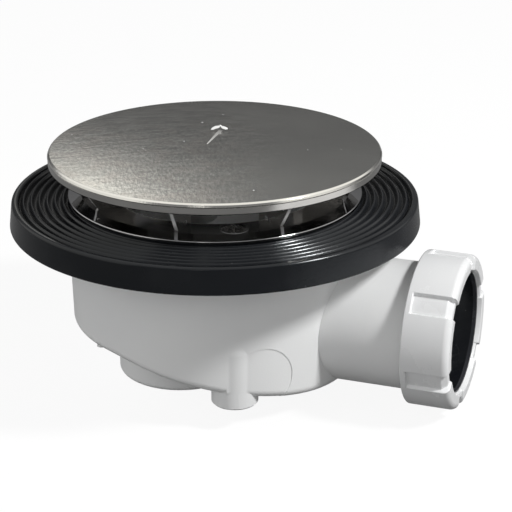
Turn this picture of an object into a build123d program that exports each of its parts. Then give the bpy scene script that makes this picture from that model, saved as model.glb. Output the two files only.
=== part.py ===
"""Shower trap: round tray waste with a floating cover, ribbed tray seal, dip-tube trap and side outlet.

Millimetres. The origin is on the waste's axis, in the plane of the seal's rib tops, where the underside
of the shower tray lies. +Z is up and +X points along the outlet.
"""
import os
from math import cos, radians, tan

from build123d import *

os.makedirs("parts", exist_ok=True)

# Fits between pieces
slide_fit = 0.3
snug_fit = 0.1

# The plug goes into the tray's hole, and the rounds about it keep these distances from it
plug_r = 44.8
throat_margin = 9.2
screw_margin = 3.0
gasket_gap = 0.2
seal_gap = 2.6
flange_overlap = 6.2
bowl_margin = 6.6
well_margin = 8.9

# Ribbed seal under the tray
seal_flare = 1.0
seal_height = 9.2
seal_web = 4.0
seal_rim_w = 2.08
seal_skirt_t = 5.2
seal_edge_round = 1.2
seal_shelf_w = 4.5
seal_shelf_drop = 0.4
rib_count = 6
rib_pitch = 2.72
rib_width = 1.4
rib_depth = 1.7

# Trap body: clamping flange, bowl and tilted floor
body_flange_t = 4.0
bowl_draft = 1.6
bowl_wall = 2.6
floor_z = -45.2
floor_break_x = -17.0
floor_slope = 13.6
floor_blend_r = 60.0
floor_round = 3.0
flange_root_round = 2.0
pip_r = 1.6
pip_h = 0.9
pip_margin = 4.4
pip_angle = -125.5
mark_r = 11.0
mark_angle = -51.0
mark_z = -49.0
mark_depth = 0.2

# Well that holds the water, and the weir it spills over
well_r = 22.4
well_wall = 2.5
well_bottom_z = -68.0
well_round = 2.0
weir_z = -16.0

# Screw columns, which come out of the drafted wall low down and end as feet
screw_count = 3
first_screw_angle = -60.5
column_offset = 0.7
column_r = 7.95
column_top_z = -9.6
column_wall = 2.6
column_core_top_z = -30.0
foot_z = -59.5
foot_chamfer = 0.6

# Outlet on the bowl's wall: pipe stub, socket for the waste pipe and threaded end
outlet_z = -39.2
socket_r = 20.3
pipe_skin = 1.7
pipe_root = 11.4
pipe_nose = 5.0
socket_stop_w = 1.3
socket_stop_l = 8.6
socket_l = 17.0
socket_cone_l = 6.0
socket_cone_w = 1.9
thread_wall = 1.2
thread_l = 7.0

# Compression nut, with its washer and its rubber ring
nut_overlap = 8.3
nut_length = 16.6
nut_wall = 3.2
nut_hole_gap = 0.4
nut_lip = 1.8
nut_shoulder_round = 2.4
nut_edge_round = 0.6
recess_count = 6
recess_angle = 15.0
first_recess_angle = 40.0
recess_depth = 1.2
recess_face_depth = 0.8
recess_shoulder = 2.0
recess_back_margin = 2.1
washer_t = 1.2
washer_gap = 0.2

# Chrome flange and its gasket
flange_top_z = 2.3
flange_edge_z = 1.35
flange_edge_t = 0.8
flange_bevel_w = 4.4
flange_lip_w = 0.6
flange_edge_round = 0.45
plug_z = -1.2
throat_round = 1.5
spigot_wall = 2.0
spigot_z = -8.5
ledge_t = 1.5
ledge_w = 2.2
gasket_t = 1.0

# Flange screws and their brass inserts
screw_r = 2.4
screw_head_r = 4.3
screw_sink = 0.3
screw_length = 23.0
recess_slot_w = 1.1
recess_slot_l = 5.0
recess_slot_depth = 1.5
insert_r = 3.6
insert_length = 12.0

# Dip tube, which lifts out through the throat
dip_rim_h = 4.0
dip_wall = 1.8
dip_floor_z = -11.0
dip_tube_r = 15.0
dip_tube_z = -60.0
dip_mouth_round = 1.2
groove_h = 1.8
groove_depth = 1.3
groove_top_gap = 1.1

# Cover plate and its carrier
cover_r = 57.5
cover_edge_z = 16.5
cover_rise = 2.0
cover_t = 1.2
cover_bevel = 0.6
cover_land_w = 4.5
carrier_rim_h = 2.7
carrier_inset = 0.1
carrier_groove = 0.3
carrier_web_t = 1.6
carrier_foot_round = 0.5
fin_count = 8
first_fin_angle = 5.0
fin_t = 1.2
fin_foot_w = 6.4
fin_heel_gap = 3.0
fin_step = 0.8
fin_leg_w = 4.0
fin_leg_z = -2.0

# Sizes and places that follow from those above
throat_r = plug_r - throat_margin
screw_circle_r = plug_r - screw_margin
column_circle_r = screw_circle_r + column_offset
gasket_inner_r = plug_r + gasket_gap
flange_r = plug_r + flange_overlap
flange_flat_r = flange_r - flange_bevel_w
bowl_r = plug_r + bowl_margin
pip_circle_r = bowl_r - pip_margin
well_x = well_r + well_margin - plug_r
seal_inner_r = plug_r + seal_gap
shelf_r = seal_inner_r + seal_shelf_w
seal_top_r = shelf_r + rib_count * rib_pitch + seal_rim_w
seal_bottom_r = seal_top_r + seal_flare
skirt_r = seal_bottom_r - seal_skirt_t
body_flange_r = skirt_r - snug_fit
body_top_z = -seal_web
bowl_height = body_top_z - well_bottom_z
slope = radians(floor_slope)
screw_step = 360 / screw_count
shelf_z = -seal_shelf_drop
gasket_top_z = shelf_z + gasket_t
ledge_z = spigot_z + ledge_t
pipe_r = socket_r + pipe_skin
pipe_bore_r = socket_r - socket_stop_w
pipe_start_x = bowl_r - pipe_root
socket_stop_x = bowl_r + socket_stop_l
socket_cone_x = socket_stop_x + socket_l
socket_mouth_x = socket_cone_x + socket_cone_l
socket_mouth_r = socket_r + socket_cone_w
thread_r = socket_mouth_r + thread_wall
thread_start_x = socket_mouth_x - thread_l
nut_r = thread_r + nut_wall
nut_hole_r = socket_r + nut_hole_gap
washer_hole_r = socket_r + washer_gap
ring_bore_r = socket_r + snug_fit
nut_back_x = socket_mouth_x - nut_overlap
nut_front_x = nut_back_x + nut_length
lip_x = nut_front_x - nut_lip
washer_x = lip_x - washer_t
outlet_plane = Plane(origin=(0, 0, outlet_z), x_dir=(0, 1, 0), z_dir=(1, 0, 0))
outlet_axis = Axis((0, 0, outlet_z), (1, 0, 0))
outlet_section = Plane(origin=(0, 0, outlet_z), x_dir=(1, 0, 0), z_dir=(0, -1, 0))


# Flange seal: black rubber ring, ribbed on top, with a skirt over the body's flange
with BuildPart() as flange_seal:
    with BuildSketch(Plane.XZ):
        with BuildLine():
            Polyline(
                (seal_inner_r, body_top_z),
                (seal_inner_r, 0),
                (seal_top_r, 0),
                (seal_bottom_r, -seal_height),
                (skirt_r, -seal_height),
                (skirt_r, body_top_z),
                close=True,
            )
        make_face()
    revolve(axis=Axis.Z)
    fillet(flange_seal.edges().group_by(Axis.Z)[-1].sort_by(SortBy.RADIUS)[-1], seal_edge_round)
    with BuildSketch(Plane.XY):
        for rib in range(rib_count, -1, -1):
            rib_foot_r = shelf_r + rib * rib_pitch
            Circle(rib_foot_r)
            Circle(rib_foot_r - rib_pitch + rib_width, mode=Mode.SUBTRACT)
    extrude(amount=-rib_depth, mode=Mode.SUBTRACT)
    with BuildSketch(Plane.XY):
        Circle(shelf_r)
    extrude(amount=-seal_shelf_drop, mode=Mode.SUBTRACT)
flange_seal.part.label = "flange_seal"
export_step(flange_seal.part, "parts/flange_seal.step")


# Trap body: the bowl's outside and its cavity are drafted rounds, both ended by a floor that is level
# round the well and then slopes down to the outlet. The well and the outlet are set in it
def bowl_round(radius, lift):
    """Drafted round of the given radius at the top, whose floor lies above the outer floor by lift."""
    level_z = floor_z + lift
    break_x = floor_break_x + lift * (1 / cos(slope) - 1) / tan(slope)
    reach = bowl_r + bowl_wall
    low_z = level_z - (reach - break_x) * tan(slope)
    with BuildPart() as bowl:
        with BuildSketch(Plane.XY.offset(body_top_z)):
            Circle(radius)
        extrude(amount=bowl_height, dir=(0, 0, -1), taper=bowl_draft)
        with BuildSketch(Plane.XZ) as profile:
            with BuildLine():
                Polyline(
                    (-reach, body_top_z),
                    (reach, body_top_z),
                    (reach, low_z),
                    (break_x, level_z),
                    (-reach, level_z),
                    close=True,
                )
            make_face()
            fillet(profile.vertices().sort_by_distance((break_x, level_z))[0], floor_blend_r)
        extrude(amount=reach, both=True, mode=Mode.INTERSECT)
        walls = bowl.faces().filter_by(GeomType.CONE)
        roof = bowl.faces().sort_by(Axis.Z)[-1]
        rim = roof.edges()
        fillet([edge for edge in walls.edges() if edge not in rim], floor_round)
    return bowl.part


bowl_outside = bowl_round(bowl_r, 0)
bowl_cavity = bowl_round(bowl_r - bowl_wall, bowl_wall)

# Round moulding mark, a very shallow step in the wall beside the front column
mark_plane = Plane(origin=(0, 0, mark_z), x_dir=(0, 0, 1), z_dir=Vector(1, 0, 0).rotate(Axis.Z, mark_angle))
with BuildPart() as wall_mark:
    with BuildSketch(mark_plane.offset(bowl_r / 2)):
        Circle(mark_r)
    extrude(amount=bowl_r)
    add(bowl_round(bowl_r - mark_depth, 0), mode=Mode.SUBTRACT)

with BuildPart() as rear_column:
    with BuildSketch(Plane.XY.offset(column_top_z)):
        with PolarLocations(column_circle_r, 1, start_angle=first_screw_angle + 2 * screw_step):
            Circle(column_r)
    extrude(amount=floor_z - column_top_z)

# Outlet's outside, and its bore with the pipe socket and the cone for the rubber ring
with BuildPart() as outlet_pipe:
    with BuildSketch(outlet_plane.offset(pipe_start_x)):
        Circle(pipe_r)
    extrude(amount=thread_start_x - pipe_start_x)
    chamfer(outlet_pipe.edges().group_by(Axis.X)[0], pipe_nose)
    with BuildSketch(outlet_plane.offset(thread_start_x)):
        Circle(thread_r)
    extrude(amount=socket_mouth_x - thread_start_x)

with BuildPart() as outlet_bore:
    with BuildSketch(outlet_section):
        with BuildLine():
            Polyline(
                (pipe_start_x, 0),
                (pipe_start_x, pipe_bore_r - pipe_nose),
                (pipe_start_x + pipe_nose, pipe_bore_r),
                (socket_stop_x, pipe_bore_r),
                (socket_stop_x, socket_r),
                (socket_cone_x, socket_r),
                (socket_mouth_x, socket_mouth_r),
                (socket_mouth_x, 0),
                close=True,
            )
        make_face()
    revolve(axis=outlet_axis)

with BuildPart() as well_outside:
    with BuildSketch(Plane.XY.offset(well_bottom_z)):
        with Locations((well_x, 0)):
            Circle(well_r)
    extrude(amount=weir_z - well_bottom_z)
    fillet(well_outside.edges().group_by(Axis.Z)[0], well_round)

with BuildPart() as front_columns:
    with BuildSketch(Plane.XY.offset(foot_z)):
        with PolarLocations(
            column_circle_r, 2, start_angle=first_screw_angle, angular_range=2 * screw_step
        ):
            Circle(column_r)
    extrude(amount=column_top_z - foot_z)
    chamfer(front_columns.edges().group_by(Axis.Z)[0], foot_chamfer)

with BuildPart() as trap_body:
    with BuildSketch(Plane.XY.offset(body_top_z)):
        Circle(body_flange_r)
    extrude(amount=-body_flange_t)
    add(bowl_outside)
    under_z = body_top_z - body_flange_t
    roots = trap_body.edges().filter_by_position(Axis.Z, under_z - snug_fit, under_z + snug_fit)
    fillet(roots.filter_by(GeomType.CIRCLE).sort_by(SortBy.RADIUS)[0], flange_root_round)
    add(wall_mark.part, mode=Mode.SUBTRACT)
    add(bowl_cavity, mode=Mode.SUBTRACT)
    with BuildSketch(Plane.XY.offset(floor_z - pip_h)):
        with PolarLocations(pip_circle_r, 1, start_angle=pip_angle):
            Circle(pip_r)
    extrude(amount=pip_h + bowl_wall / 2)
    add(front_columns.part)
    add(rear_column.part)
    # Round seats for the well and the outlet
    add(well_outside.part, mode=Mode.SUBTRACT)
    add(outlet_bore.part, mode=Mode.SUBTRACT)
    # Insert pockets from above and cored-out columns from below
    with BuildSketch(Plane.XY.offset(column_top_z)):
        with PolarLocations(screw_circle_r, screw_count, start_angle=first_screw_angle):
            Circle(insert_r)
    extrude(amount=-insert_length, mode=Mode.SUBTRACT)
    with BuildSketch(Plane.XY.offset(foot_z)):
        with PolarLocations(column_circle_r, screw_count, start_angle=first_screw_angle):
            Circle(column_r - column_wall)
    extrude(amount=column_core_top_z - foot_z, mode=Mode.SUBTRACT)
trap_body.part.label = "trap_body"
export_step(trap_body.part, "parts/trap_body.step")


# Water well: deep cup set in the bowl's floor, open at the weir
with BuildPart() as water_well:
    add(well_outside.part)
    with BuildSketch(Plane.XY.offset(well_bottom_z + well_wall)):
        with Locations((well_x, 0)):
            Circle(well_r - well_wall)
    extrude(amount=weir_z - well_bottom_z - well_wall, mode=Mode.SUBTRACT)
water_well.part.label = "water_well"
export_step(water_well.part, "parts/water_well.step")


# Outlet socket: pipe stub on the bowl's wall, with the end that the nut goes on
with BuildPart() as outlet_socket:
    add(outlet_pipe.part)
    add(bowl_outside, mode=Mode.SUBTRACT)
    add(outlet_bore.part, mode=Mode.SUBTRACT)
outlet_socket.part.label = "outlet_socket"
export_step(outlet_socket.part, "parts/outlet_socket.step")


# Screw inserts: brass bushes in the columns
with BuildPart() as screw_inserts:
    with BuildSketch(Plane.XY.offset(column_top_z)):
        with PolarLocations(screw_circle_r, screw_count, start_angle=first_screw_angle):
            Circle(insert_r)
            Circle(screw_r, mode=Mode.SUBTRACT)
    extrude(amount=-insert_length)
screw_inserts.part.label = "screw_inserts"
export_step(screw_inserts.part, "parts/screw_inserts.step")


# Flange gasket: flat ring that lies between the chrome flange and the tray
with BuildPart() as flange_gasket:
    with BuildSketch(Plane.XY.offset(shelf_z)):
        Circle(flange_r - flange_lip_w - slide_fit)
        Circle(gasket_inner_r, mode=Mode.SUBTRACT)
    extrude(amount=gasket_t)
flange_gasket.part.label = "flange_gasket"
export_step(flange_gasket.part, "parts/flange_gasket.step")


# Top flange: chrome ring with a flat screw land, a plug that enters the tray's hole and a throat
# whose ledge carries the dip tube
flange_lip_z = flange_edge_z - flange_edge_t
lip_r = flange_r - flange_lip_w
spigot_r = throat_r + spigot_wall
with BuildPart() as top_flange:
    with BuildSketch(Plane.XZ):
        with BuildLine():
            Polyline(
                (throat_r, flange_top_z),
                (flange_flat_r, flange_top_z),
                (flange_r, flange_edge_z),
                (flange_r, flange_lip_z),
                (lip_r, flange_lip_z),
                (lip_r, gasket_top_z),
                (plug_r, gasket_top_z),
                (plug_r, plug_z),
                (spigot_r, plug_z),
                (spigot_r, spigot_z),
                (throat_r - ledge_w, spigot_z),
                (throat_r - ledge_w, ledge_z),
                (throat_r, ledge_z),
                close=True,
            )
        make_face()
    revolve(axis=Axis.Z)
    rounds = top_flange.edges().filter_by(GeomType.CIRCLE)
    fillet(rounds.group_by(Axis.Z)[-1].sort_by(SortBy.RADIUS)[0], throat_round)
    fillet(rounds.filter_by(lambda edge: edge.radius > lip_r).sort_by(Axis.Z)[-1], flange_edge_round)
    with Locations(Plane.XY.offset(flange_top_z)):
        with PolarLocations(screw_circle_r, screw_count, start_angle=first_screw_angle):
            CounterSinkHole(screw_r + slide_fit, screw_head_r + screw_sink, counter_sink_angle=90)
top_flange.part.label = "top_flange"
export_step(top_flange.part, "parts/top_flange.step")


# Flange screws: three countersunk screws with a cross recess
screw_top_z = flange_top_z - screw_sink
screw_neck_z = screw_top_z - (screw_head_r - screw_r)
with BuildPart() as flange_screws:
    with BuildSketch(Plane.XY.offset(screw_top_z)):
        with PolarLocations(screw_circle_r, screw_count, start_angle=first_screw_angle):
            Circle(screw_head_r)
    extrude(amount=screw_top_z - screw_neck_z, dir=(0, 0, -1), taper=45)
    with BuildSketch(Plane.XY.offset(screw_neck_z)):
        with PolarLocations(screw_circle_r, screw_count, start_angle=first_screw_angle):
            Circle(screw_r)
    extrude(amount=screw_top_z - screw_length - screw_neck_z)
    with BuildSketch(Plane.XY.offset(screw_top_z)):
        with PolarLocations(screw_circle_r, screw_count, start_angle=first_screw_angle):
            Rectangle(recess_slot_l, recess_slot_w)
            Rectangle(recess_slot_w, recess_slot_l)
    extrude(amount=-recess_slot_depth, mode=Mode.SUBTRACT)
flange_screws.part.label = "flange_screws"
export_step(flange_screws.part, "parts/flange_screws.step")


# Dip tube: a shallow dish that hangs in the throat, with an off-centre tube down into the well
rim_r = throat_r - slide_fit
dish_r = throat_r - ledge_w - slide_fit
rim_z = ledge_z + dip_rim_h
groove_z = rim_z - groove_top_gap - groove_h
groove_r = rim_r - groove_depth
dish_floor_z = dip_floor_z + dip_wall
with BuildPart() as dip_tube:
    with BuildSketch(Plane.XZ):
        with BuildLine():
            Polyline(
                (0, dip_floor_z),
                (dish_r, dip_floor_z),
                (dish_r, ledge_z),
                (rim_r, ledge_z),
                (rim_r, groove_z),
                (groove_r, groove_z),
                (groove_r, groove_z + groove_h),
                (rim_r, groove_z + groove_h),
                (rim_r, rim_z),
                (dish_r - dip_wall, rim_z),
                (dish_r - dip_wall, dish_floor_z),
                (0, dish_floor_z),
                close=True,
            )
        make_face()
    revolve(axis=Axis.Z)
    with BuildSketch(Plane.XY.offset(dip_floor_z)):
        with Locations((well_x, 0)):
            Circle(dip_tube_r)
    extrude(amount=dip_tube_z - dip_floor_z)
    with BuildSketch(Plane.XY.offset(dish_floor_z)):
        with Locations((well_x, 0)):
            Circle(dip_tube_r - dip_wall)
    extrude(amount=dip_tube_z - dish_floor_z, mode=Mode.SUBTRACT)
    mouth = dip_tube.edges().filter_by(GeomType.CIRCLE).filter_by_position(
        Axis.Z, dish_floor_z - snug_fit, dish_floor_z + snug_fit
    )
    fillet(mouth.sort_by(SortBy.RADIUS)[0], dip_mouth_round)
dip_tube.part.label = "dip_tube"
export_step(dip_tube.part, "parts/dip_tube.step")


# Dip tube ring: rubber ring in the rim's groove, against the throat
with BuildPart() as dip_tube_ring:
    with BuildSketch(Plane.XY.offset(groove_z)):
        Circle(throat_r)
        Circle(groove_r, mode=Mode.SUBTRACT)
    extrude(amount=groove_h)
    fillet(dip_tube_ring.edges().filter_by(GeomType.CIRCLE), groove_h / 4)
dip_tube_ring.part.label = "dip_tube_ring"
export_step(dip_tube_ring.part, "parts/dip_tube_ring.step")


# Cover plate: domed steel disc with a bevelled edge and a flat land below
cover_under_z = cover_edge_z - cover_t
cover_land_r = cover_r - cover_land_w
with BuildPart() as cover_plate:
    with BuildSketch(Plane.XZ):
        with BuildLine():
            Line((0, cover_under_z + cover_rise), (0, cover_edge_z + cover_rise))
            TangentArc(
                (0, cover_edge_z + cover_rise), (cover_r - cover_bevel, cover_edge_z), tangent=(1, 0)
            )
            Polyline(
                (cover_r - cover_bevel, cover_edge_z),
                (cover_r, cover_edge_z - cover_bevel),
                (cover_r, cover_under_z),
                (cover_land_r, cover_under_z),
            )
            TangentArc(
                (0, cover_under_z + cover_rise), (cover_land_r, cover_under_z), tangent=(1, 0)
            )
        make_face()
    revolve(axis=Axis.Z)
cover_plate.part.label = "cover_plate"
export_step(cover_plate.part, "parts/cover_plate.step")


# Cover carrier: rim and web below the plate, and fins that stand on the flange and steady it in the throat
carrier_r = cover_r - carrier_inset
carrier_z = cover_under_z - carrier_rim_h
web_z = cover_under_z - carrier_web_t
leg_r = throat_r - slide_fit
fin_heel_r = throat_r + fin_heel_gap
fin_foot_r = fin_heel_r + fin_foot_w
with BuildPart() as cover_carrier:
    with BuildSketch(Plane.XY.offset(carrier_z)):
        Circle(carrier_r)
        Circle(cover_land_r, mode=Mode.SUBTRACT)
    extrude(amount=carrier_rim_h)
    rim_edges = cover_carrier.edges().filter_by(GeomType.CIRCLE).sort_by(SortBy.RADIUS)[-2:]
    chamfer(rim_edges.sort_by(Axis.Z)[-1], carrier_groove)
    fillet(cover_carrier.edges().group_by(Axis.Z)[0].sort_by(SortBy.RADIUS)[-1], carrier_foot_round)
    with BuildSketch(Plane.XY.offset(web_z)):
        Circle(cover_land_r)
    extrude(amount=carrier_web_t)
    for fin in range(fin_count):
        fin_plane = Plane.XZ.rotated((0, 0, first_fin_angle + fin * 360 / fin_count))
        with BuildSketch(fin_plane):
            with BuildLine():
                Polyline(
                    (leg_r - fin_leg_w, web_z),
                    (cover_land_r, web_z),
                    (fin_foot_r, flange_top_z),
                    (fin_heel_r, flange_top_z),
                    (fin_heel_r, flange_top_z + fin_step),
                    (leg_r, flange_top_z + fin_step),
                    (leg_r, fin_leg_z),
                    (leg_r - fin_leg_w, fin_leg_z),
                    close=True,
                )
            make_face()
        extrude(amount=fin_t / 2, both=True)
cover_carrier.part.label = "cover_carrier"
export_step(cover_carrier.part, "parts/cover_carrier.step")


# Compression nut: a turned shell with six grip recesses that run out over its shoulder
with BuildPart() as nut_recesses:
    with BuildSketch(outlet_section):
        with BuildLine():
            Polyline(
                (nut_back_x + recess_back_margin, nut_r - recess_depth),
                (nut_front_x - recess_face_depth - recess_shoulder, nut_r - recess_depth),
                (nut_front_x - recess_face_depth, nut_r - recess_depth - recess_shoulder),
                (nut_front_x - recess_face_depth, nut_hole_r - nut_lip),
                (nut_front_x + recess_depth, nut_hole_r - nut_lip),
                (nut_front_x + recess_depth, nut_r + recess_depth),
                (nut_back_x + recess_back_margin, nut_r + recess_depth),
                close=True,
            )
        make_face()
    revolve(axis=outlet_axis, revolution_arc=recess_angle)

with BuildPart() as compression_nut:
    with BuildSketch(outlet_plane.offset(nut_back_x)):
        Circle(nut_r)
    extrude(amount=nut_length)
    fillet(compression_nut.edges().group_by(Axis.X)[-1], nut_shoulder_round)
    fillet(compression_nut.edges().group_by(Axis.X)[0], nut_edge_round)
    with BuildSketch(outlet_plane.offset(nut_back_x)):
        Circle(thread_r + slide_fit)
    extrude(amount=nut_length - nut_lip, mode=Mode.SUBTRACT)
    with BuildSketch(outlet_plane.offset(nut_back_x)):
        Circle(nut_hole_r)
    extrude(amount=nut_length, mode=Mode.SUBTRACT)
    for recess in range(recess_count):
        turn = 90 - first_recess_angle - recess_angle / 2 + recess * 360 / recess_count
        add(nut_recesses.part.rotate(outlet_axis, turn), mode=Mode.SUBTRACT)
compression_nut.part.label = "compression_nut"
export_step(compression_nut.part, "parts/compression_nut.step")


# Slip washer: thin ring between the nut's lip and the rubber ring
with BuildPart() as slip_washer:
    with BuildSketch(outlet_plane.offset(washer_x)):
        Circle(thread_r)
        Circle(washer_hole_r, mode=Mode.SUBTRACT)
    extrude(amount=washer_t)
slip_washer.part.label = "slip_washer"
export_step(slip_washer.part, "parts/slip_washer.step")


# Compression seal: rubber ring whose tapered nose sits in the socket's cone
with BuildPart() as compression_seal:
    with BuildSketch(outlet_section):
        with BuildLine():
            Polyline(
                (washer_x, ring_bore_r),
                (washer_x, thread_r),
                (socket_mouth_x, thread_r),
                (socket_mouth_x, socket_mouth_r),
                (socket_cone_x + washer_t, ring_bore_r + snug_fit),
                (socket_cone_x + washer_t, ring_bore_r),
                close=True,
            )
        make_face()
    revolve(axis=outlet_axis)
compression_seal.part.label = "compression_seal"
export_step(compression_seal.part, "parts/compression_seal.step")
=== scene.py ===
"""Shower trap: surfaces, finishes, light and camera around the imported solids.

Objects are in metres, in the solids' frame.
Sizes are in millimetres and degrees, and MM turns millimetres to metres.
"""
from math import cos, radians, sin

import bpy
import numpy as np
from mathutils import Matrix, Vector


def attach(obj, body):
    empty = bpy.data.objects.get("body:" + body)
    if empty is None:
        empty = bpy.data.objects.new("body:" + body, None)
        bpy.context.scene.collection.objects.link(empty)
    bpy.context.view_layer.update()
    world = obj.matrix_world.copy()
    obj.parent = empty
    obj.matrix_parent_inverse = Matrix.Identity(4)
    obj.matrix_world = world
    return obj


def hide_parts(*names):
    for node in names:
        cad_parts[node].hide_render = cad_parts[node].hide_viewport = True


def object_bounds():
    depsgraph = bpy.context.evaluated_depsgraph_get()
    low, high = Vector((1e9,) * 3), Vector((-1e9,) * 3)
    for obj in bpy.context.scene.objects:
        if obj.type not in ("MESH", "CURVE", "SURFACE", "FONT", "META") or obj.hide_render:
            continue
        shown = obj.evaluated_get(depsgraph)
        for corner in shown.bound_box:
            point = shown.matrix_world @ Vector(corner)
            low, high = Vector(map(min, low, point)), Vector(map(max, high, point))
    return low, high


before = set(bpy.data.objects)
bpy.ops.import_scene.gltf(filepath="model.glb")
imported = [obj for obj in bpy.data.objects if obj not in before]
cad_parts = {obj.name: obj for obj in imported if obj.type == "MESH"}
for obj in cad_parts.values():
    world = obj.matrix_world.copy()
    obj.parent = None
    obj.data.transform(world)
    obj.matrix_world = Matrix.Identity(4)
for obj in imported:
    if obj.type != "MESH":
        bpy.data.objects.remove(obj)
cad_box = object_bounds()

MM = 0.001
floor_level = cad_box[0].z

# Level directions, as the camera sees them
camera_turn = radians(20)
to_right = (cos(camera_turn), sin(camera_turn), 0)
to_left = (-cos(camera_turn), -sin(camera_turn), 0)
to_back = (-sin(camera_turn), cos(camera_turn), 0)

# Sizes of the solids that the surfaces follow
seal_inner_r = 47.4
seal_shelf_r = 51.9
seal_skirt_r = 66.1
seal_top_r = 70.3
seal_bottom_r = 71.3
seal_shelf_z = -0.4
seal_seat_z = -4.0
seal_bottom_z = -9.2
rib_count = 6
rib_pitch = 2.72
rib_gap = 1.32
rib_depth = 1.7
cover_r = 57.5
cover_land_r = 53.0
cover_edge_z = 16.5
cover_under_z = 15.3
cover_rise = 2.0
outlet_z = -39.2
nut_r = 26.6
nut_thread_r = 23.7
nut_hole_r = 20.7
nut_back_x = 74.7
nut_lip_x = 89.5
nut_front_x = 91.3
nut_shoulder = 2.4
recess_count = 6
recess_middle = 140.0
recess_angle = 15.0
recess_back_x = 76.8
recess_depth = 1.2
recess_face_depth = 0.8
recess_shoulder = 2.0
bowl_r = 51.4
bowl_top_z = -4.0
bowl_draft = 1.6
wall_foot_z = -52.4
floor_round = 3.0
column_r = 7.95
screw_circle_r = 41.8
screw_count = 3
first_screw_angle = -60.5
screw_angles = first_screw_angle + np.arange(screw_count) * 360 / screw_count

# Sizes of trim that the surfaces add: the cover's leaning, bevelled rim and the flare of the nut's mouth
cover_lean = 0.24
cover_bevel = 0.5
cover_edge_r = cover_r - cover_lean - cover_bevel
hole_flare = 0.8


# Surfaces from arrays
def smooth_step(t):
    """Rises from 0 to 1 while t does, as t squared times (3 - 2t), and stays level outside."""
    t = np.clip(t, 0, 1)
    return t * t * (3 - 2 * t)


def grid_faces(rows, columns, wrap_rows, wrap_columns):
    """Corner numbers of each cell of a point grid; wrapping joins the last row or column to the first."""
    number = np.arange(rows * columns).reshape(rows, columns)
    if wrap_rows:
        number = np.concatenate([number, number[:1]], 0)
    if wrap_columns:
        number = np.concatenate([number, number[:, :1]], 1)
    corners = number[:-1, :-1], number[1:, :-1], number[1:, 1:], number[:-1, 1:]
    return np.stack(corners, -1).reshape(-1, 4)


def surface(name, points, wrap_rows=False, wrap_columns=False):
    """Mesh piece from a grid of points in millimetres; points that coincide, as at a pole, become one."""
    faces = grid_faces(*points.shape[:2], wrap_rows, wrap_columns)
    places, same = np.unique(np.round(points.reshape(-1, 3), 5), axis=0, return_inverse=True)
    faces = same.reshape(-1)[faces]
    distinct = faces != np.roll(faces, -1, axis=1)
    whole = faces[distinct.all(1)]
    pinched = distinct.sum(1) == 3
    triangles = faces[pinched][distinct[pinched]].reshape(-1, 3)
    mesh = bpy.data.meshes.new(name)
    mesh.from_pydata((places * MM).tolist(), [], whole.tolist() + triangles.tolist())
    mesh.shade_smooth()
    piece = bpy.data.objects.new(name, mesh)
    bpy.context.scene.collection.objects.link(piece)
    return piece


def rounded(corners, radii, steps):
    """Closed outline whose corners are arcs: each arc's centre lies on the corner's bisector, at radius over
    the sine of the half angle, and the arc turns from one tangent point to the other."""
    corners = np.array(corners, float)
    radii = np.array(radii, float)[:, None]
    to_last = np.roll(corners, 1, 0) - corners
    to_next = np.roll(corners, -1, 0) - corners
    to_last /= np.linalg.norm(to_last, axis=1, keepdims=True)
    to_next /= np.linalg.norm(to_next, axis=1, keepdims=True)
    half = np.arccos(np.clip((to_last * to_next).sum(1, keepdims=True), -1, 1)) / 2
    bisector = to_last + to_next
    # A corner in a straight line has no bisector, so its length is kept above zero
    least_length = 1e-9
    bisector /= np.maximum(np.linalg.norm(bisector, axis=1, keepdims=True), least_length)
    centre = corners + bisector * radii / np.sin(half)
    start = corners + to_last * radii / np.tan(half) - centre
    end = corners + to_next * radii / np.tan(half) - centre
    first = np.arctan2(start[:, 1], start[:, 0])[:, None]
    sweep = np.arctan2(end[:, 1], end[:, 0])[:, None] - first
    sweep = (sweep + np.pi) % (2 * np.pi) - np.pi
    angle = first + sweep * np.linspace(0, 1, steps)
    arcs = centre[:, None] + radii[:, None] * np.stack([np.cos(angle), np.sin(angle)], -1)
    return arcs.reshape(-1, 2)


def carried_round(name, angle, radius, height, along_outlet=False, closed=True):
    """Profile carried round an axis: a point lies at radius times (cos, sin) of its angle across the axis and
    at height along it. The axis is the waste's, or the outlet's."""
    across = radius * np.cos(angle)[:, None]
    over = radius * np.sin(angle)[:, None]
    height = height + 0 * across
    if along_outlet:
        points = np.stack([height, across, over + outlet_z], -1)
    else:
        points = np.stack([across, over, height], -1)
    return surface(name, points, wrap_rows=True, wrap_columns=closed)


def even_turn(steps):
    """Angles of a full turn in equal steps, in radians."""
    return np.linspace(0, 2 * np.pi, steps, endpoint=False)


def dress(piece, material, node=None):
    """Gives a new piece its material and slot; it rides on the one body and may stand for a solid."""
    piece.data.materials.append(material)
    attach(piece, "root")
    if node:
        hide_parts(node)


def even_shading(piece):
    """Shades large flats flat, so that only the narrow rounds between them look round."""
    weighted = piece.modifiers.new("weighted", "WEIGHTED_NORMAL")
    weighted.keep_sharp = True
    weighted.weight = 100


# Node helpers
def new_material(name):
    """Empty node material; returns it with its node tree and its Principled BSDF."""
    material = bpy.data.materials.new(name)
    material.use_nodes = True
    return material, material.node_tree, material.node_tree.nodes["Principled BSDF"]


def add_node(tree, kind, values=None, **settings):
    """One node with its settings, and its inputs from values by name or number."""
    made = tree.nodes.new(kind)
    for key, value in settings.items():
        setattr(made, key, value)
    for key, value in (values or {}).items():
        if isinstance(value, bpy.types.NodeSocket):
            tree.links.new(value, made.inputs[key])
        else:
            made.inputs[key].default_value = value
    return made


def maths(tree, operation, first, second=0.0, third=0.0, clamp=False):
    """Result of one Math node."""
    values = {0: first, 1: second, 2: third}
    return add_node(tree, "ShaderNodeMath", values, operation=operation, use_clamp=clamp).outputs[0]


def product(tree, first, *others):
    """Numbers multiplied together."""
    for other in others:
        first = maths(tree, "MULTIPLY", first, other)
    return first


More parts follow.
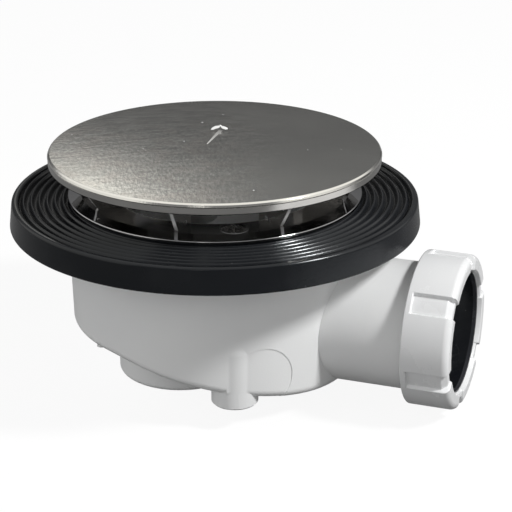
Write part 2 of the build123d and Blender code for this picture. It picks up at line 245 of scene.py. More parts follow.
def mean(tree, first, second):
    """Mean of two numbers."""
    return maths(tree, "MULTIPLY_ADD", first, 0.5, maths(tree, "MULTIPLY", second, 0.5))


def between(tree, factor, low, high):
    """Number between two, by a factor."""
    return add_node(tree, "ShaderNodeMix", {0: factor, 2: low, 3: high}).outputs[0]


def spread(tree, value, low, high, to_low, to_high, smooth=False):
    """Value mapped from one range to another, and held at the ends."""
    kind = "SMOOTHSTEP" if smooth else "LINEAR"
    values = {"Value": value, "From Min": low, "From Max": high, "To Min": to_low, "To Max": to_high}
    return add_node(tree, "ShaderNodeMapRange", values, interpolation_type=kind).outputs["Result"]


def vector_maths(tree, operation, first, second=(0, 0, 0)):
    """Result of one Vector Math node: a number where the operation gives one, and otherwise a vector."""
    made = add_node(tree, "ShaderNodeVectorMath", {0: first, 1: second}, operation=operation)
    gives_number = operation in ("DISTANCE", "DOT_PRODUCT", "LENGTH")
    return made.outputs["Value" if gives_number else "Vector"]


def split(tree, vector):
    """The three numbers of a vector."""
    return add_node(tree, "ShaderNodeSeparateXYZ", {0: vector}).outputs


def object_place(tree):
    """Object coordinates, in metres."""
    return add_node(tree, "ShaderNodeTexCoord").outputs["Object"]


def lying_place(tree):
    """Object coordinates with the height left out."""
    return vector_maths(tree, "MULTIPLY", object_place(tree), (1, 1, 0))


def noise(tree, place, scale, detail=2.0, roughness=0.5):
    """Soft three-dimensional noise, about 0.5."""
    values = {"Vector": place, "Scale": scale, "Detail": detail, "Roughness": roughness}
    return add_node(tree, "ShaderNodeTexNoise", values).outputs["Fac"]


def tint(tree, factor, base, over):
    """Colour between two, by a factor; the first is a colour or a socket."""
    if not isinstance(base, bpy.types.NodeSocket):
        base = (*base, 1)
    values = {"Factor": factor, 6: base, 7: (*over, 1)}
    return add_node(tree, "ShaderNodeMix", values, data_type="RGBA").outputs[2]


def lay_over(tree, shader, mask, colour):
    """Lays a colour over what feeds the shader's base colour, by a mask."""
    base = shader.inputs["Base Color"].links[0].from_socket
    tree.links.new(tint(tree, mask, base, colour), shader.inputs["Base Color"])


def bumped(tree, shader, height, depth):
    """Feeds a height, in parts of the depth in millimetres, to the shader's normal."""
    made = add_node(tree, "ShaderNodeBump", {"Height": height, "Distance": depth * MM, "Strength": 1.0})
    tree.links.new(made.outputs["Normal"], shader.inputs["Normal"])


def new_group(name, inputs, outputs):
    """Shader node group with number sockets; returns it with its input and output nodes' sockets."""
    group = bpy.data.node_groups.new(name, "ShaderNodeTree")
    for socket, value in inputs.items():
        made = group.interface.new_socket(socket, in_out="INPUT", socket_type="NodeSocketFloat")
        made.default_value = value
    for socket in outputs:
        group.interface.new_socket(socket, in_out="OUTPUT", socket_type="NodeSocketFloat")
    return group, group.nodes.new("NodeGroupInput").outputs, group.nodes.new("NodeGroupOutput").inputs


def use_group(tree, group, values):
    """Places a node group in a material with its own values; returns its outputs."""
    return add_node(tree, "ShaderNodeGroup", values, node_tree=group).outputs


# Moulded skin: broad patches of tone, a fine grain, and a gloss that follows both
fine_share = 0.4
skin, given, result = new_group("moulded_skin", {"Grain": 2500, "Patches": 35}, ["Tone", "Gloss", "Height"])
place = object_place(skin)
fine = noise(skin, place, given["Grain"], detail=3)
broad = noise(skin, place, given["Patches"], detail=2)
broad_part = maths(skin, "MULTIPLY", broad, 1 - fine_share)
skin.links.new(broad, result["Tone"])
skin.links.new(maths(skin, "MULTIPLY_ADD", fine, fine_share, broad_part), result["Gloss"])
skin.links.new(fine, result["Height"])

# Drawn lines: noise that is stretched one way, after a turn
lines, given, result = new_group("drawn_lines", {"Turn": 0, "Along": 60, "Across": 2500}, ["Lines"])
turn = add_node(lines, "ShaderNodeCombineXYZ", {"Z": given["Turn"]}).outputs[0]
laid = add_node(lines, "ShaderNodeMapping", {"Vector": object_place(lines), "Rotation": turn}).outputs[0]
scales = {"X": given["Along"], "Y": given["Across"], "Z": given["Along"]}
drawn = vector_maths(lines, "MULTIPLY", laid, add_node(lines, "ShaderNodeCombineXYZ", scales).outputs[0])
lines.links.new(noise(lines, drawn, 1.0, detail=3, roughness=0.6), result["Lines"])

# Tiny specks: small balls round the middle points of cells, in a share of the cells
specks, given, result = new_group("tiny_specks", {"Spacing": 160, "Size": 0.06, "Share": 0.5}, ["Mask"])
cells = add_node(specks, "ShaderNodeTexVoronoi", {"Vector": object_place(specks), "Scale": given["Spacing"]})
chance = add_node(specks, "ShaderNodeSeparateColor", {0: cells.outputs["Color"]}).outputs[0]
close = maths(specks, "LESS_THAN", cells.outputs["Distance"], given["Size"])
chosen = maths(specks, "LESS_THAN", chance, given["Share"])
specks.links.new(product(specks, close, chosen), result["Mask"])

# Handling smears: the upper part of a soft cloud
smears, given, result = new_group("handling_smears", {"Scale": 24}, ["Mask"])
cloud = noise(smears, object_place(smears), given["Scale"], detail=4, roughness=0.6)
smears.links.new(spread(smears, cloud, 0.4, 0.7, 0, 1, smooth=True), result["Mask"])

# Ranges in which most values lie, of a noise and of a mean of two effects
noise_range = 0.3, 0.7
mean_range = 0.2, 0.8


# Plastics
def plastic(name, light, dark, roughness, patches):
    """Moulded plastic: broad tone patches, faint smears that change the gloss and a fine grain."""
    material, tree, shader = new_material(name)
    moulded = use_group(tree, skin, {"Grain": 1900, "Patches": patches})
    rubbed = use_group(tree, smears, {"Scale": 30})["Mask"]
    tone = spread(tree, moulded["Tone"], *noise_range, 0, 1)
    tree.links.new(tint(tree, tone, dark, light), shader.inputs["Base Color"])
    gloss = mean(tree, rubbed, moulded["Gloss"])
    tree.links.new(spread(tree, gloss, *mean_range, *roughness), shader.inputs["Roughness"])
    bumped(tree, shader, moulded["Height"], depth=0.02)
    return material


white_plastic = plastic("white_plastic", (0.80, 0.805, 0.80), (0.77, 0.775, 0.775), (0.30, 0.42), 34)
# Painted shade: the nut's plastic is the body's white made a little darker, so that its lit top is not too
# bright
nut_plastic_shaded = plastic("nut_plastic_shaded", (0.755, 0.76, 0.76), (0.725, 0.73, 0.735), (0.24, 0.36), 48)
grey_plastic = plastic("grey_plastic", (0.040, 0.041, 0.046), (0.028, 0.029, 0.033), (0.16, 0.28), 60)

# Film: white above, with painted shade below: its underside is painted dark, as the shade under the curled
# film
film_white = plastic("film_white", (0.86, 0.86, 0.85), (0.74, 0.74, 0.73), (0.18, 0.34), 300)
tree = film_white.node_tree
shaded_underside = add_node(tree, "ShaderNodeNewGeometry").outputs["Backfacing"]
# Painted shade on the film's underside
lay_over(tree, tree.nodes["Principled BSDF"], shaded_underside, (0.05, 0.05, 0.05))

# Rubber: bluish black with grey smears and a little dust
deep_black, plain_black = (0.005, 0.0058, 0.0074), (0.0085, 0.0094, 0.0114)
smear_grey, smear_cover = (0.026, 0.027, 0.029), 0.22
dust_grey, dust_cover = (0.25, 0.25, 0.24), 0.2
black_rubber, tree, shader = new_material("black_rubber")
moulded = use_group(tree, skin, {"Grain": 1400, "Patches": 60})
dusted = use_group(tree, specks, {"Spacing": 420, "Size": 0.09, "Share": 0.10})["Mask"]
rubbed = use_group(tree, smears, {"Scale": 26})["Mask"]
colour = tint(tree, moulded["Tone"], deep_black, plain_black)
colour = tint(tree, maths(tree, "MULTIPLY", rubbed, smear_cover), colour, smear_grey)
colour = tint(tree, maths(tree, "MULTIPLY", dusted, dust_cover), colour, dust_grey)
tree.links.new(colour, shader.inputs["Base Color"])
gloss = mean(tree, rubbed, moulded["Gloss"])
tree.links.new(spread(tree, gloss, *mean_range, 0.14, 0.26), shader.inputs["Roughness"])
shader.inputs["Specular IOR Level"].default_value = 0.34
# Painted reflection colour: the rubber's reflections are tinted cool, standing in for a bluish light
shader.inputs["Specular Tint"].default_value = (0.94, 0.98, 1, 1)
bumped(tree, shader, moulded["Height"], depth=0.02)


# Platings
def plated(name, light, dark, roughness, smear_scale):
    """Bright plating: patches change its tone and smears its gloss. Returns it with its tree and shader."""
    material, tree, shader = new_material(name)
    rubbed = use_group(tree, smears, {"Scale": smear_scale})["Mask"]
    moulded = use_group(tree, skin, {"Grain": 900, "Patches": 70})
    tree.links.new(tint(tree, moulded["Tone"], dark, light), shader.inputs["Base Color"])
    tree.links.new(spread(tree, rubbed, 0, 1, *roughness), shader.inputs["Roughness"])
    shader.inputs["Metallic"].default_value = 1
    bumped(tree, shader, moulded["Height"], depth=0.004)
    return material, tree, shader


def paint_pale_highlight(tree, shader, mask):
    """Plating that is painted pale and hardly metallic where the mask says: a painted highlight, in places
    with some edge wear.
    """
    pale, metal_left = (0.88, 0.88, 0.87), 0.1
    lay_over(tree, shader, mask, pale)
    tree.links.new(spread(tree, mask, 0, 1, 1, metal_left), shader.inputs["Metallic"])


# Flange chrome: painted highlight on the outer edges of the screws' countersinks, pale where light would
# catch them, with some edge wear
countersink_r, highlight_half_width = 4.75, 0.3
highlight_from_r, highlight_full_r = screw_circle_r + 1, screw_circle_r + 4
beyond_all = 1.0
chrome_plate, tree, shader = plated("chrome_plate", (0.52, 0.52, 0.53), (0.45, 0.45, 0.46), (0.04, 0.11), 40)
lying = lying_place(tree)
from_screw = beyond_all
for angle in np.radians(screw_angles):
    axis = (screw_circle_r * MM * cos(angle), screw_circle_r * MM * sin(angle), 0)
    from_screw = maths(tree, "MINIMUM", vector_maths(tree, "DISTANCE", lying, axis), from_screw)
from_edge = maths(tree, "ABSOLUTE", maths(tree, "SUBTRACT", from_screw, countersink_r * MM))
near_edge = maths(tree, "LESS_THAN", from_edge, highlight_half_width * MM)
outer_side = spread(tree, vector_maths(tree, "LENGTH", lying), highlight_from_r * MM, highlight_full_r * MM, 0, 1)
# Painted highlight: the countersinks' edges are pale on their outer side, where light falls
paint_pale_highlight(tree, shader, product(tree, near_edge, outer_side))

# Carrier chrome: painted highlight on the fins' outer edges, pale as where they catch light, most in their
# upper part
fin_top_z, highlight_from_z, highlight_full_z, least_highlight = 12.4, 2.0, 5.5, 0.2
carrier_light, carrier_dark = (0.62, 0.61, 0.59), (0.52, 0.51, 0.49)
carrier_chrome, tree, shader = plated("carrier_chrome", carrier_light, carrier_dark, (0.14, 0.24), 45)
fin_z = split(tree, object_place(tree))[2]
on_fin = maths(tree, "LESS_THAN", fin_z, fin_top_z * MM)
outward = vector_maths(tree, "NORMALIZE", lying_place(tree))
facing = add_node(tree, "ShaderNodeNewGeometry").outputs["Normal"]
faces_out = maths(tree, "GREATER_THAN", vector_maths(tree, "DOT_PRODUCT", facing, outward), 0.5)
upper_part = spread(tree, fin_z, highlight_from_z * MM, highlight_full_z * MM, least_highlight, 1)
# Painted highlight on the fins' outer edges, fainter towards their feet
paint_pale_highlight(tree, shader, product(tree, on_fin, faces_out, upper_part))


# Bare metals
def drawn_metal(name, light, dark, roughness, turn, along, across):
    """Bare metal with fine drawn lines in its tone, its gloss and its surface."""
    material, tree, shader = new_material(name)
    drawn = use_group(tree, lines, {"Turn": turn, "Along": along, "Across": across})["Lines"]
    tone = spread(tree, drawn, *noise_range, 0, 1)
    tree.links.new(tint(tree, tone, dark, light), shader.inputs["Base Color"])
    tree.links.new(spread(tree, drawn, *noise_range, *roughness), shader.inputs["Roughness"])
    shader.inputs["Metallic"].default_value = 1
    bumped(tree, shader, drawn, depth=0.01)
    return material


screw_steel = drawn_metal("screw_steel", (0.56, 0.55, 0.54), (0.42, 0.41, 0.41), (0.2, 0.3), 0.6, 300, 3000)
insert_brass = drawn_metal("insert_brass", (0.74, 0.57, 0.28), (0.62, 0.46, 0.22), (0.22, 0.36), 0, 3000, 300)

# Cover steel: finely brushed, under clear film. The film's grain is strongest on the left of the near side,
# and its thin dashes on the left of the far side. A torn strip and flecks of film show white
dash_turn = 0.12
lone_flecks = [(-13.03, 21.22, 0.4), (28.26, -38.42, 0.3)]
cover_steel, tree, shader = new_material("cover_steel")
place = object_place(tree)
lying = lying_place(tree)
brushed = use_group(tree, lines, {"Turn": -camera_turn, "Along": 70, "Across": 1500})["Lines"]
dashes = use_group(tree, lines, {"Turn": -camera_turn - dash_turn, "Along": 130, "Across": 520})["Lines"]
grain = use_group(tree, lines, {"Turn": -camera_turn, "Along": 880, "Across": 420})["Lines"]
moulded = use_group(tree, skin, {"Grain": 620, "Patches": 110})
rubbed = use_group(tree, smears, {"Scale": 20})["Mask"]
flecks = use_group(tree, specks, {"Spacing": 190, "Size": 0.055, "Share": 0.13})["Mask"]
for fleck_x, fleck_y, fleck_r in lone_flecks:
    apart = vector_maths(tree, "DISTANCE", lying, (fleck_x * MM, fleck_y * MM, 0))
    flecks = maths(tree, "MAXIMUM", flecks, maths(tree, "LESS_THAN", apart, fleck_r * MM))

# Film of the cover: its sides, which fade into each other, and its grain and dashes as a mottle about 0
left_fade = -5 * MM, 28 * MM
near_fade = 12 * MM, 36 * MM
far_fade = -25 * MM, 5 * MM
grain_contrast, dash_contrast, brush_contrast = 0.34, 0.26, 0.16
dash_range, sheen_range, most_sheen = (0.36, 0.64), (0.4, 0.65), 0.3
rightwards = vector_maths(tree, "DOT_PRODUCT", place, to_right)
backwards = vector_maths(tree, "DOT_PRODUCT", place, to_back)
left_side = spread(tree, rightwards, *left_fade, 1, 0.1, smooth=True)
near_side = spread(tree, backwards, *near_fade, 1, 0.15, smooth=True)
far_side = spread(tree, backwards, *far_fade, 0.4, 1, smooth=True)
film = product(tree, left_side, near_side)
speckle = product(tree, film, spread(tree, grain, *noise_range, -grain_contrast, grain_contrast))
streak = spread(tree, dashes, *dash_range, -dash_contrast, dash_contrast)
mottle = maths(tree, "ADD", speckle, product(tree, left_side, far_side, streak))
shade = maths(tree, "MULTIPLY_ADD", maths(tree, "SUBTRACT", brushed, 0.5), brush_contrast, mottle)
sheen = product(tree, film, spread(tree, moulded["Tone"], *sheen_range, 0, most_sheen, smooth=True))

# Torn strip of the cover's film: a straight taper, faint where it starts
tear_start, tear_end = np.array([-3.2, 14.2]), np.array([-1.8, -2.7])
tear_half_widths = 0.8 * MM, 0.2 * MM
tear_strengths = 0.35, 0.9
tear_line = tear_end - tear_start
tear_angle = float(np.arctan2(tear_line[1], tear_line[0]))
tear_length = float(np.hypot(*tear_line)) * MM
tear_frame = {"Vector": place, "Location": (*(tear_start * MM).tolist(), 0), "Rotation": (0, 0, tear_angle)}
turned = add_node(tree, "ShaderNodeMapping", tear_frame, vector_type="TEXTURE").outputs[0]
along_tear, across_tear, _ = split(tree, turned)
half_width = spread(tree, along_tear, 0, tear_length, *tear_half_widths)
inside = maths(tree, "LESS_THAN", maths(tree, "ABSOLUTE", across_tear), half_width)
begun = maths(tree, "GREATER_THAN", along_tear, 0)
going_on = maths(tree, "LESS_THAN", along_tear, tear_length)
strength = spread(tree, along_tear, 0, tear_length, *tear_strengths)
torn = product(tree, inside, begun, going_on, strength)

# Colour and gloss of the cover: its rim is glossier and painted paler and warm, a painted highlight along the
# rim, and white film is hardly metallic
rim_from_r, rim_full_r = cover_edge_r - 0.06, cover_edge_r + 0.04
fleck_dullness, rim_polish = 0.7, 0.6
rim_highlight_and_polish = spread(tree, vector_maths(tree, "LENGTH", lying), rim_from_r * MM, rim_full_r * MM, 0, 1)
colour = tint(tree, spread(tree, shade, -0.4, 0.4, 0, 1), (0.43, 0.428, 0.406), (0.67, 0.667, 0.635))
colour = tint(tree, sheen, colour, (0.61, 0.55, 0.51))
# Painted highlight: the rim is painted pale and warm, as where it mirrors a bright ceiling
colour = tint(tree, rim_highlight_and_polish, colour, (0.9, 0.887, 0.845))
colour = tint(tree, flecks, colour, (0.85, 0.85, 0.83))
tree.links.new(tint(tree, torn, colour, (0.78, 0.77, 0.74)), shader.inputs["Base Color"])
white = maths(tree, "MAXIMUM", torn, maths(tree, "MULTIPLY", flecks, fleck_dullness))
tree.links.new(maths(tree, "SUBTRACT", 1.0, white), shader.inputs["Metallic"])
dulled = spread(tree, mean(tree, rubbed, brushed), *mean_range, 0.15, 0.23)
polish = spread(tree, rim_highlight_and_polish, 0, 1, 1, rim_polish)
tree.links.new(product(tree, dulled, polish), shader.inputs["Roughness"])
bumped(tree, shader, mottle, depth=0.03)

# Solids that keep their shape
finish_of = {
    "trap_body": white_plastic,
    "water_well": white_plastic,
    "outlet_socket": white_plastic,
    "dip_tube": white_plastic,
    "slip_washer": grey_plastic,
    "flange_gasket": black_rubber,
    "compression_seal": black_rubber,
    "dip_tube_ring": black_rubber,
    "top_flange": chrome_plate,
    "cover_carrier": carrier_chrome,
    "flange_screws": screw_steel,
    "screw_inserts": insert_brass,
}
for name, material in finish_of.items():
    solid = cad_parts[name]
    solid.data.materials.clear()
    solid.data.materials.append(material)
for name, width in {"top_flange": 0.3, "flange_screws": 0.15}.items():
    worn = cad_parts[name].modifiers.new("worn_edges", "BEVEL")
    worn.width = width * MM
    worn.segments = 3
    worn.limit_method = "ANGLE"
    worn.angle_limit = radians(35)
    worn.harden_normals = True


# Cover disc: dome of one large circle over a leaning, bevelled rim
def dome(radius, edge_r, edge_z):
    """Height of an arc that is level on the axis and falls by the cover's rise to the edge. Its circle's
    radius is (edge radius squared + rise squared) over twice the rise."""
    large = (edge_r**2 + cover_rise**2) / (2 * cover_rise)
    return edge_z + cover_rise - large + np.sqrt(large**2 - radius**2)


arc_steps = 6
rim_foot = 0.05
cover_corners = [
    (cover_land_r, cover_under_z),
    (cover_r, cover_under_z),
    (cover_r, cover_under_z + rim_foot),
    (cover_r - cover_lean, cover_edge_z - cover_bevel),
    (cover_edge_r, cover_edge_z),
    (cover_land_r, dome(cover_land_r, cover_edge_r, cover_edge_z)),
]
cover_rounds = [0, 0, 0.05, 0.15, 0.2, 0]
rim = rounded(cover_corners, cover_rounds, arc_steps)
under_r = np.linspace(0, cover_land_r, 30)
over_r = np.linspace(cover_land_r, 0, 40)
under = np.stack([under_r, dome(under_r, cover_land_r, cover_under_z)], -1)
over = np.stack([over_r, dome(over_r, cover_edge_r, cover_edge_z)], -1)
disc = np.concatenate([under, rim, over])
cover_disc = carried_round("cover_disc", even_turn(288), disc[None, :, 0], disc[None, :, 1], closed=False)
even_shading(cover_disc)
dress(cover_disc, cover_steel, "cover_plate")

# Seal ring: skirt, raised rim and ribs as a wave, which lies below 0 by half the depth times (1 + cosine) and
# is highest at the ribs' middles
wave_steps = 18
rim_gap_r = seal_shelf_r + rib_count * rib_pitch
first_trough_r, last_trough_r = rim_gap_r - rib_gap / 2, seal_shelf_r - rib_gap / 2
wave_r = np.linspace(first_trough_r, last_trough_r, rib_count * wave_steps + 1)
wave_z = -rib_depth * (0.5 + 0.5 * np.cos(2 * np.pi * (wave_r - first_trough_r) / rib_pitch))
rim_corners = [
    (seal_inner_r, seal_seat_z),
    (seal_skirt_r, seal_seat_z),
    (seal_skirt_r, seal_bottom_z),
    (seal_bottom_r, seal_bottom_z),
    (seal_top_r, 0),
    (rim_gap_r, 0),
    (first_trough_r, -rib_depth),
]
shelf_corners = [
    (last_trough_r, -rib_depth),
    (last_trough_r - rib_gap / 2, seal_shelf_z),
    (seal_inner_r, seal_shelf_z),
]
seal_rounds = [0.3, 0.3, 0.5, 0.7, 1.2, 0.7, 0, 0, 0.3, 0.4]
outline = rounded(rim_corners + shelf_corners, seal_rounds, arc_steps)
wave_start = arc_steps * len(rim_corners)
wave = np.stack([wave_r, wave_z], -1)
outline = np.concatenate([outline[:wave_start], wave, outline[wave_start:]])
seal_ring = carried_round("seal_ring", even_turn(300), outline[None, :, 0], outline[None, :, 1])
even_shading(seal_ring)
dress(seal_ring, black_rubber, "flange_seal")

# Nut shell: a plain and a sunk profile with a flared mouth, mixed round the outlet by a mask that is 1 in the
# grip recesses. The plain shoulder is a quarter round, made of two corners of 45 degrees
nut_arc_steps = 7
beside_back = 0.4
shoulder_tangent = np.tan(np.pi / 8) * nut_shoulder
plain_corners = [
    (nut_thread_r, nut_back_x),
    (nut_r, nut_back_x),
    (nut_r, recess_back_x - beside_back),
    (nut_r, recess_back_x + beside_back),
    (nut_r, nut_front_x - nut_shoulder + shoulder_tangent),
    (nut_r - nut_shoulder + shoulder_tangent, nut_front_x),
    (nut_hole_r + hole_flare, nut_front_x),
    (nut_hole_r, nut_lip_x),
    (nut_thread_r, nut_lip_x),
]
sunk_r, sunk_front_x = nut_r - recess_depth, nut_front_x - recess_face_depth
sunk_corners = [
    *plain_corners[:2],
    (nut_r, recess_back_x),
    (sunk_r, recess_back_x),
    (sunk_r, sunk_front_x - recess_shoulder),
    (sunk_r - recess_shoulder, sunk_front_x),
    (nut_hole_r + hole_flare, sunk_front_x),
    *plain_corners[7:],
]
plain_rounds = [0.4, 0.6, 0, 0, nut_shoulder, nut_shoulder, 0.5, 0.2, 0.2]
sunk_rounds = [0.4, 0.6, 0.35, 0.35, 0.9, 0.9, 0.3, 0.2, 0.2]
plain_outline = rounded(plain_corners, plain_rounds, nut_arc_steps)
sunk_outline = rounded(sunk_corners, sunk_rounds, nut_arc_steps)

# Angles of the nut: close together at the recesses' side walls, which take up recess_wall degrees
recess_wall = 1.3
half_recess = recess_angle / 2
at_wall = np.linspace(half_recess - recess_wall, half_recess + recess_wall, 13)
before_wall = np.linspace(0, at_wall[0], 5)[:-1]
past_wall = np.linspace(at_wall[-1], 180 / recess_count, 10)[1:]
half_sector = np.concatenate([before_wall, at_wall, past_wall])
sector = np.concatenate([-half_sector[:0:-1], half_sector[:-1]])
sector_turns = np.arange(recess_count)[:, None] * 360 / recess_count
nut_angle = np.radians((recess_middle + sector[None] + sector_turns).ravel())
mask = smooth_step((half_recess + recess_wall / 2 - np.abs(sector)) / recess_wall)
mask = np.tile(mask, recess_count)[:, None, None]
nut_profile = plain_outline[None] * (1 - mask) + sunk_outline[None] * mask
nut_shell = carried_round("nut_shell", nut_angle, nut_profile[..., 0], nut_profile[..., 1], along_outlet=True)
even_shading(nut_shell)
dress(nut_shell, nut_plastic_shaded, "compression_nut")

# Column ribs: the front columns' round stands out of the wall at an even height, after a soft start. Round
# and wall are joined by a soft maximum: softness times log(1 + exp(difference over softness)), added to the
# wall
rib_top_z, rib_foot_z, rib_half_width = -36.2, -56.3, 3.9
rib_height, rib_start_length, sunk_at_start = 0.55, 3.6, 0.1
softness, edge_sink = 0.1, 0.03
rib_across, rib_down = np.meshgrid(np.linspace(-1, 1, 49), np.linspace(0, 1, 81), indexing="ij")
rib_w = rib_half_width * rib_across
rib_z = rib_top_z + (rib_foot_z - rib_top_z) * rib_down
wall_r = bowl_r + (rib_z - bowl_top_z) * np.tan(radians(bowl_draft))
into_round = np.clip((wall_foot_z - rib_z) / floor_round, 0, 1)
wall = np.sqrt(wall_r**2 - rib_w**2) - floor_round * (1 - np.sqrt(1 - into_round**2))
stands_out = rib_height * smooth_step((rib_top_z - rib_z) / rib_start_length) - sunk_at_start
column = wall_r + stands_out - column_r + np.sqrt(column_r**2 - rib_w**2)
outwards = wall + softness * np.log1p(np.exp((column - wall) / softness)) - edge_sink
for number, middle in enumerate(np.radians(screw_angles[:2])):
    rib_x = outwards * np.cos(middle) - rib_w * np.sin(middle)
    rib_y = outwards * np.sin(middle) + rib_w * np.cos(middle)
    column_rib = surface(f"column_rib_{number}", np.stack([rib_x, rib_y, rib_z], -1))
    dress(column_rib, white_plastic)

# Film curl: torn film that leans up from the cover. Flap runs from 1 at its right end to -1 at its left, and
# fold from 0 at the top edge to 1 at the front edge. The top edge falls from its height by a power of flap
# and has a peak at the notch. The front edge has a lobe on each side of the notch, where it is lower and
# reaches further out. Both ends bend forwards by the square of flap
curl_x, curl_y, curl_half_width, curl_lift = -3.9, 14.5, 2.95, 0.02
top_height, peak_height, peak_width = 1.3, 0.4, 0.16
notch, notch_width, end_width = 0.12, 0.28, 0.3
front_height, notch_share, edge_reach, lobe_reach, back_reach = 0.8, 0.75, 0.25, 1.3, 0.5
left_bend, right_bend = 1.9, 1.2
flap, fold = np.meshgrid(np.linspace(1, -1, 81), np.linspace(0, 1, 21), indexing="ij")
on_left = flap < 0
from_notch = np.abs(flap - notch)
from_end = 1 - np.abs(flap)
lobe = np.clip(from_notch / notch_width, 0, 1) ** 0.7 * np.clip(from_end / end_width, 0, 1) ** 0.5
arch = top_height - np.where(on_left, 0.7 * flap**4, 0.5 * flap**2)
top_h = arch + peak_height * np.clip(1 - from_notch / peak_width, 0, 1)
front_h = top_h * notch_share * (1 - lobe) + (front_height - 0.5 * flap**2) * lobe
film_h = top_h + (front_h - top_h) * fold
film_u = curl_half_width * flap
bent = np.where(on_left, left_bend, right_bend) * flap**2
film_v = back_reach - fold * (edge_reach + lobe_reach * lobe) - bent
film_x = curl_x + film_u * to_right[0] + film_v * to_back[0]
film_y = curl_y + film_u * to_right[1] + film_v * to_back[1]
film_z = dome(np.hypot(film_x, film_y), cover_edge_r, cover_edge_z) + curl_lift + film_h
film_curl = surface("film_curl", np.stack([film_x, film_y, film_z], -1))
dress(film_curl, film_white)


# Floor: its glow is pale to the camera, and the light on its dark paint keeps the object's shadow
def level_sheet(name, lift):
    """Large level square, at the floor's height plus a lift in millimetres."""
    reach = np.array([-3000, 3000], float)
    sheet_x, sheet_y = np.meshgrid(reach, reach, indexing="ij")
    return surface(name, np.stack([sheet_x, sheet_y, 0 * sheet_x + floor_level / MM + lift], -1))


floor_glow = 0.91
floor = level_sheet("floor", lift=0)
floor_paint, tree, shader = new_material("floor_paint")
shader.inputs["Base Color"].default_value = (0.1, 0.1, 0.1, 1)
shader.inputs["Roughness"].default_value = 0.9
shader.inputs["Specular IOR Level"].default_value = 0
seen = add_node(tree, "ShaderNodeLightPath").outputs
shown = maths(tree, "MAXIMUM", seen["Is Camera Ray"], seen["Is Glossy Ray"])
shown = maths(tree, "MAXIMUM", shown, seen["Is Transmission Ray"])
glow = add_node(tree, "ShaderNodeEmission", {"Strength": maths(tree, "MULTIPLY", shown, floor_glow)})
both = add_node(tree, "ShaderNodeAddShader", {0: shader.outputs[0], 1: glow.outputs[0]})
tree.links.new(both.outputs[0], tree.nodes["Material Output"].inputs["Surface"])
floor.data.materials.append(floor_paint)

# Grey mat on the floor that only reflections show, so that metal and rubber are not washed out from below; an
# oval of it is bright
oval_middle = (0.2614, -0.0166, floor_level)
oval_shape = (1, 1.1, 1)
oval_from_r, oval_full_r, oval_level, mat_level = 0.115, 0.145, 1.05, 0.22
mat = level_sheet("mat", lift=0.2)
mat_grey, tree, _ = new_material("mat_grey")
oval_frame = {
    "Vector": object_place(tree),
    "Location": oval_middle,
    "Rotation": (0, 0, camera_turn),
    "Scale": oval_shape,
}
from_middle = add_node(tree, "ShaderNodeMapping", oval_frame, vector_type="TEXTURE").outputs[0]
distance = vector_maths(tree, "LENGTH", from_middle)
mat_strength = spread(tree, distance, oval_from_r, oval_full_r, oval_level, mat_level, smooth=True)
mat_glow = add_node(tree, "ShaderNodeEmission", {"Strength": mat_strength})
tree.links.new(mat_glow.outputs[0], tree.nodes["Material Output"].inputs["Surface"])
mat.data.materials.append(mat_grey)
mat.visible_camera = False
mat.visible_diffuse = False
mat.visible_transmission = False
mat.visible_shadow = False

# World: white to the camera, and soft light on the object that is strongest a little above the horizon and on
# the camera's left. Heights are sines of the angle above the horizon
horizon_level, sky_level, sky_rise_end, sky_end = 0.8, 1.29, 0.25, 0.85
fill_from_left, least_fill = 0.4, 0.03
world = bpy.data.worlds.new("studio")
bpy.context.scene.world = world
world.use_nodes = True
tree = world.node_tree
towards = add_node(tree, "ShaderNodeTexCoord").outputs["Generated"]
leftness = vector_maths(tree, "DOT_PRODUCT", towards, to_left)
height = split(tree, towards)[2]
low_sky = spread(tree, height, 0, sky_rise_end, horizon_level, sky_level)
sky = product(tree, low_sky, spread(tree, height, sky_rise_end, sky_end, 1, 0, smooth=True))
fill_light = maths(tree, "MULTIPLY_ADD", leftness, fill_from_left, sky)
fill_light = maths(tree, "MAXIMUM", fill_light, least_fill)

# Studio that reflections show: dim, with a bright ceiling, a panel at each side and a window that is
# brightest a little to the left, at a height of about a half. Sideways is the sine of the angle to the left,
# seen from above
window_lean, window_peak, window_falloff, window_level = 1.6, 0.64, 11, 1.75
window_side_fade, window_top_fade = (0.13, 0.22), (0.48, 0.62)
ceiling_edge, panel_edge, panel_full = (0.62, 0.85), 0.62, 0.8
left_panel_foot, right_panel_foot = (-0.08, 0.06), (0.04, 0.2)
panel_level, dim_low, dim_high, dim_top = 0.62, 0.075, 0.275, 0.6
window_rise = maths(tree, "MULTIPLY_ADD", leftness, window_lean, height)
window_rise = maths(tree, "POWER", spread(tree, window_rise, 0, window_peak, 0, 1), window_falloff)
window_side = spread(tree, leftness, *window_side_fade, window_level, 0, smooth=True)
window_top = spread(tree, height, *window_top_fade, 1, 0, smooth=True)
window = product(tree, window_rise, window_side, window_top)
ceiling = spread(tree, height, *ceiling_edge, 0, 1, smooth=True)
level_part = maths(tree, "SQRT", maths(tree, "SUBTRACT", 1.0, maths(tree, "MULTIPLY", height, height)))
sideways = maths(tree, "DIVIDE", leftness, level_part)
far_left = spread(tree, sideways, panel_edge, panel_full, 0, 1, smooth=True)
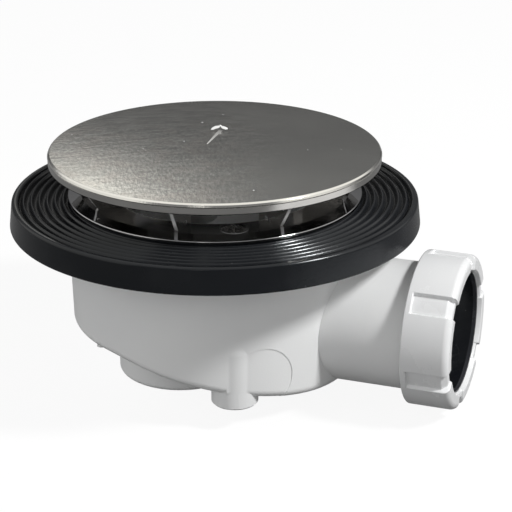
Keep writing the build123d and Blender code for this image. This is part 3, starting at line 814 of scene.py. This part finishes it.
far_right = spread(tree, sideways, -panel_full, -panel_edge, 1, 0, smooth=True)
left_panel = product(tree, far_left, spread(tree, height, *left_panel_foot, 0, 1, smooth=True))
right_panel = product(tree, far_right, spread(tree, height, *right_panel_foot, 0, 1, smooth=True))
panels = maths(tree, "MAXIMUM", ceiling, maths(tree, "MAXIMUM", left_panel, right_panel))
bright = maths(tree, "MAXIMUM", window, maths(tree, "MULTIPLY", panels, panel_level))
mirrored = maths(tree, "ADD", bright, spread(tree, height, 0, dim_top, dim_low, dim_high))

# What each kind of ray meets; bright reflections are a little warm
seen = add_node(tree, "ShaderNodeLightPath").outputs
shown = maths(tree, "MAXIMUM", seen["Is Camera Ray"], seen["Is Transmission Ray"])
level = between(tree, shown, between(tree, seen["Is Glossy Ray"], fill_light, mirrored), 1.0)
warmed = maths(tree, "MULTIPLY", bright, seen["Is Glossy Ray"], clamp=True)
tree.links.new(level, tree.nodes["Background"].inputs["Strength"])
tree.links.new(tint(tree, warmed, (1, 1, 1), (1, 0.98, 0.915)), tree.nodes["Background"].inputs["Color"])


# Lamp and camera
def softbox(name, place, aim, size, watts):
    """Square area lamp at a place in metres, turned to face a point."""
    lamp = bpy.data.lights.new(name, "AREA")
    lamp.size = size
    lamp.energy = watts
    holder = bpy.data.objects.new(name, lamp)
    bpy.context.scene.collection.objects.link(holder)
    holder.location = place
    direction = np.array(aim) - np.array(place)
    tilt = np.arctan2(np.hypot(direction[0], direction[1]), -direction[2])
    holder.rotation_euler = (tilt, 0, np.arctan2(direction[1], direction[0]) - np.pi / 2)


softbox("key", place=(0.66, -0.06, 0.58), aim=(0.02, -0.02, -0.03), size=0.12, watts=7.2)

camera = bpy.data.objects.new("camera", bpy.data.cameras.new("camera"))
bpy.context.scene.collection.objects.link(camera)
camera.location = (0.21512, -0.54966, 0.20822)
camera.rotation_euler = (radians(68.5613), 0, camera_turn)
camera.data.sensor_width = 36
camera.data.lens = 126.5625
camera.data.clip_start = 0.02
bpy.context.scene.camera = camera
bpy.context.scene.view_settings.view_transform = "Standard"
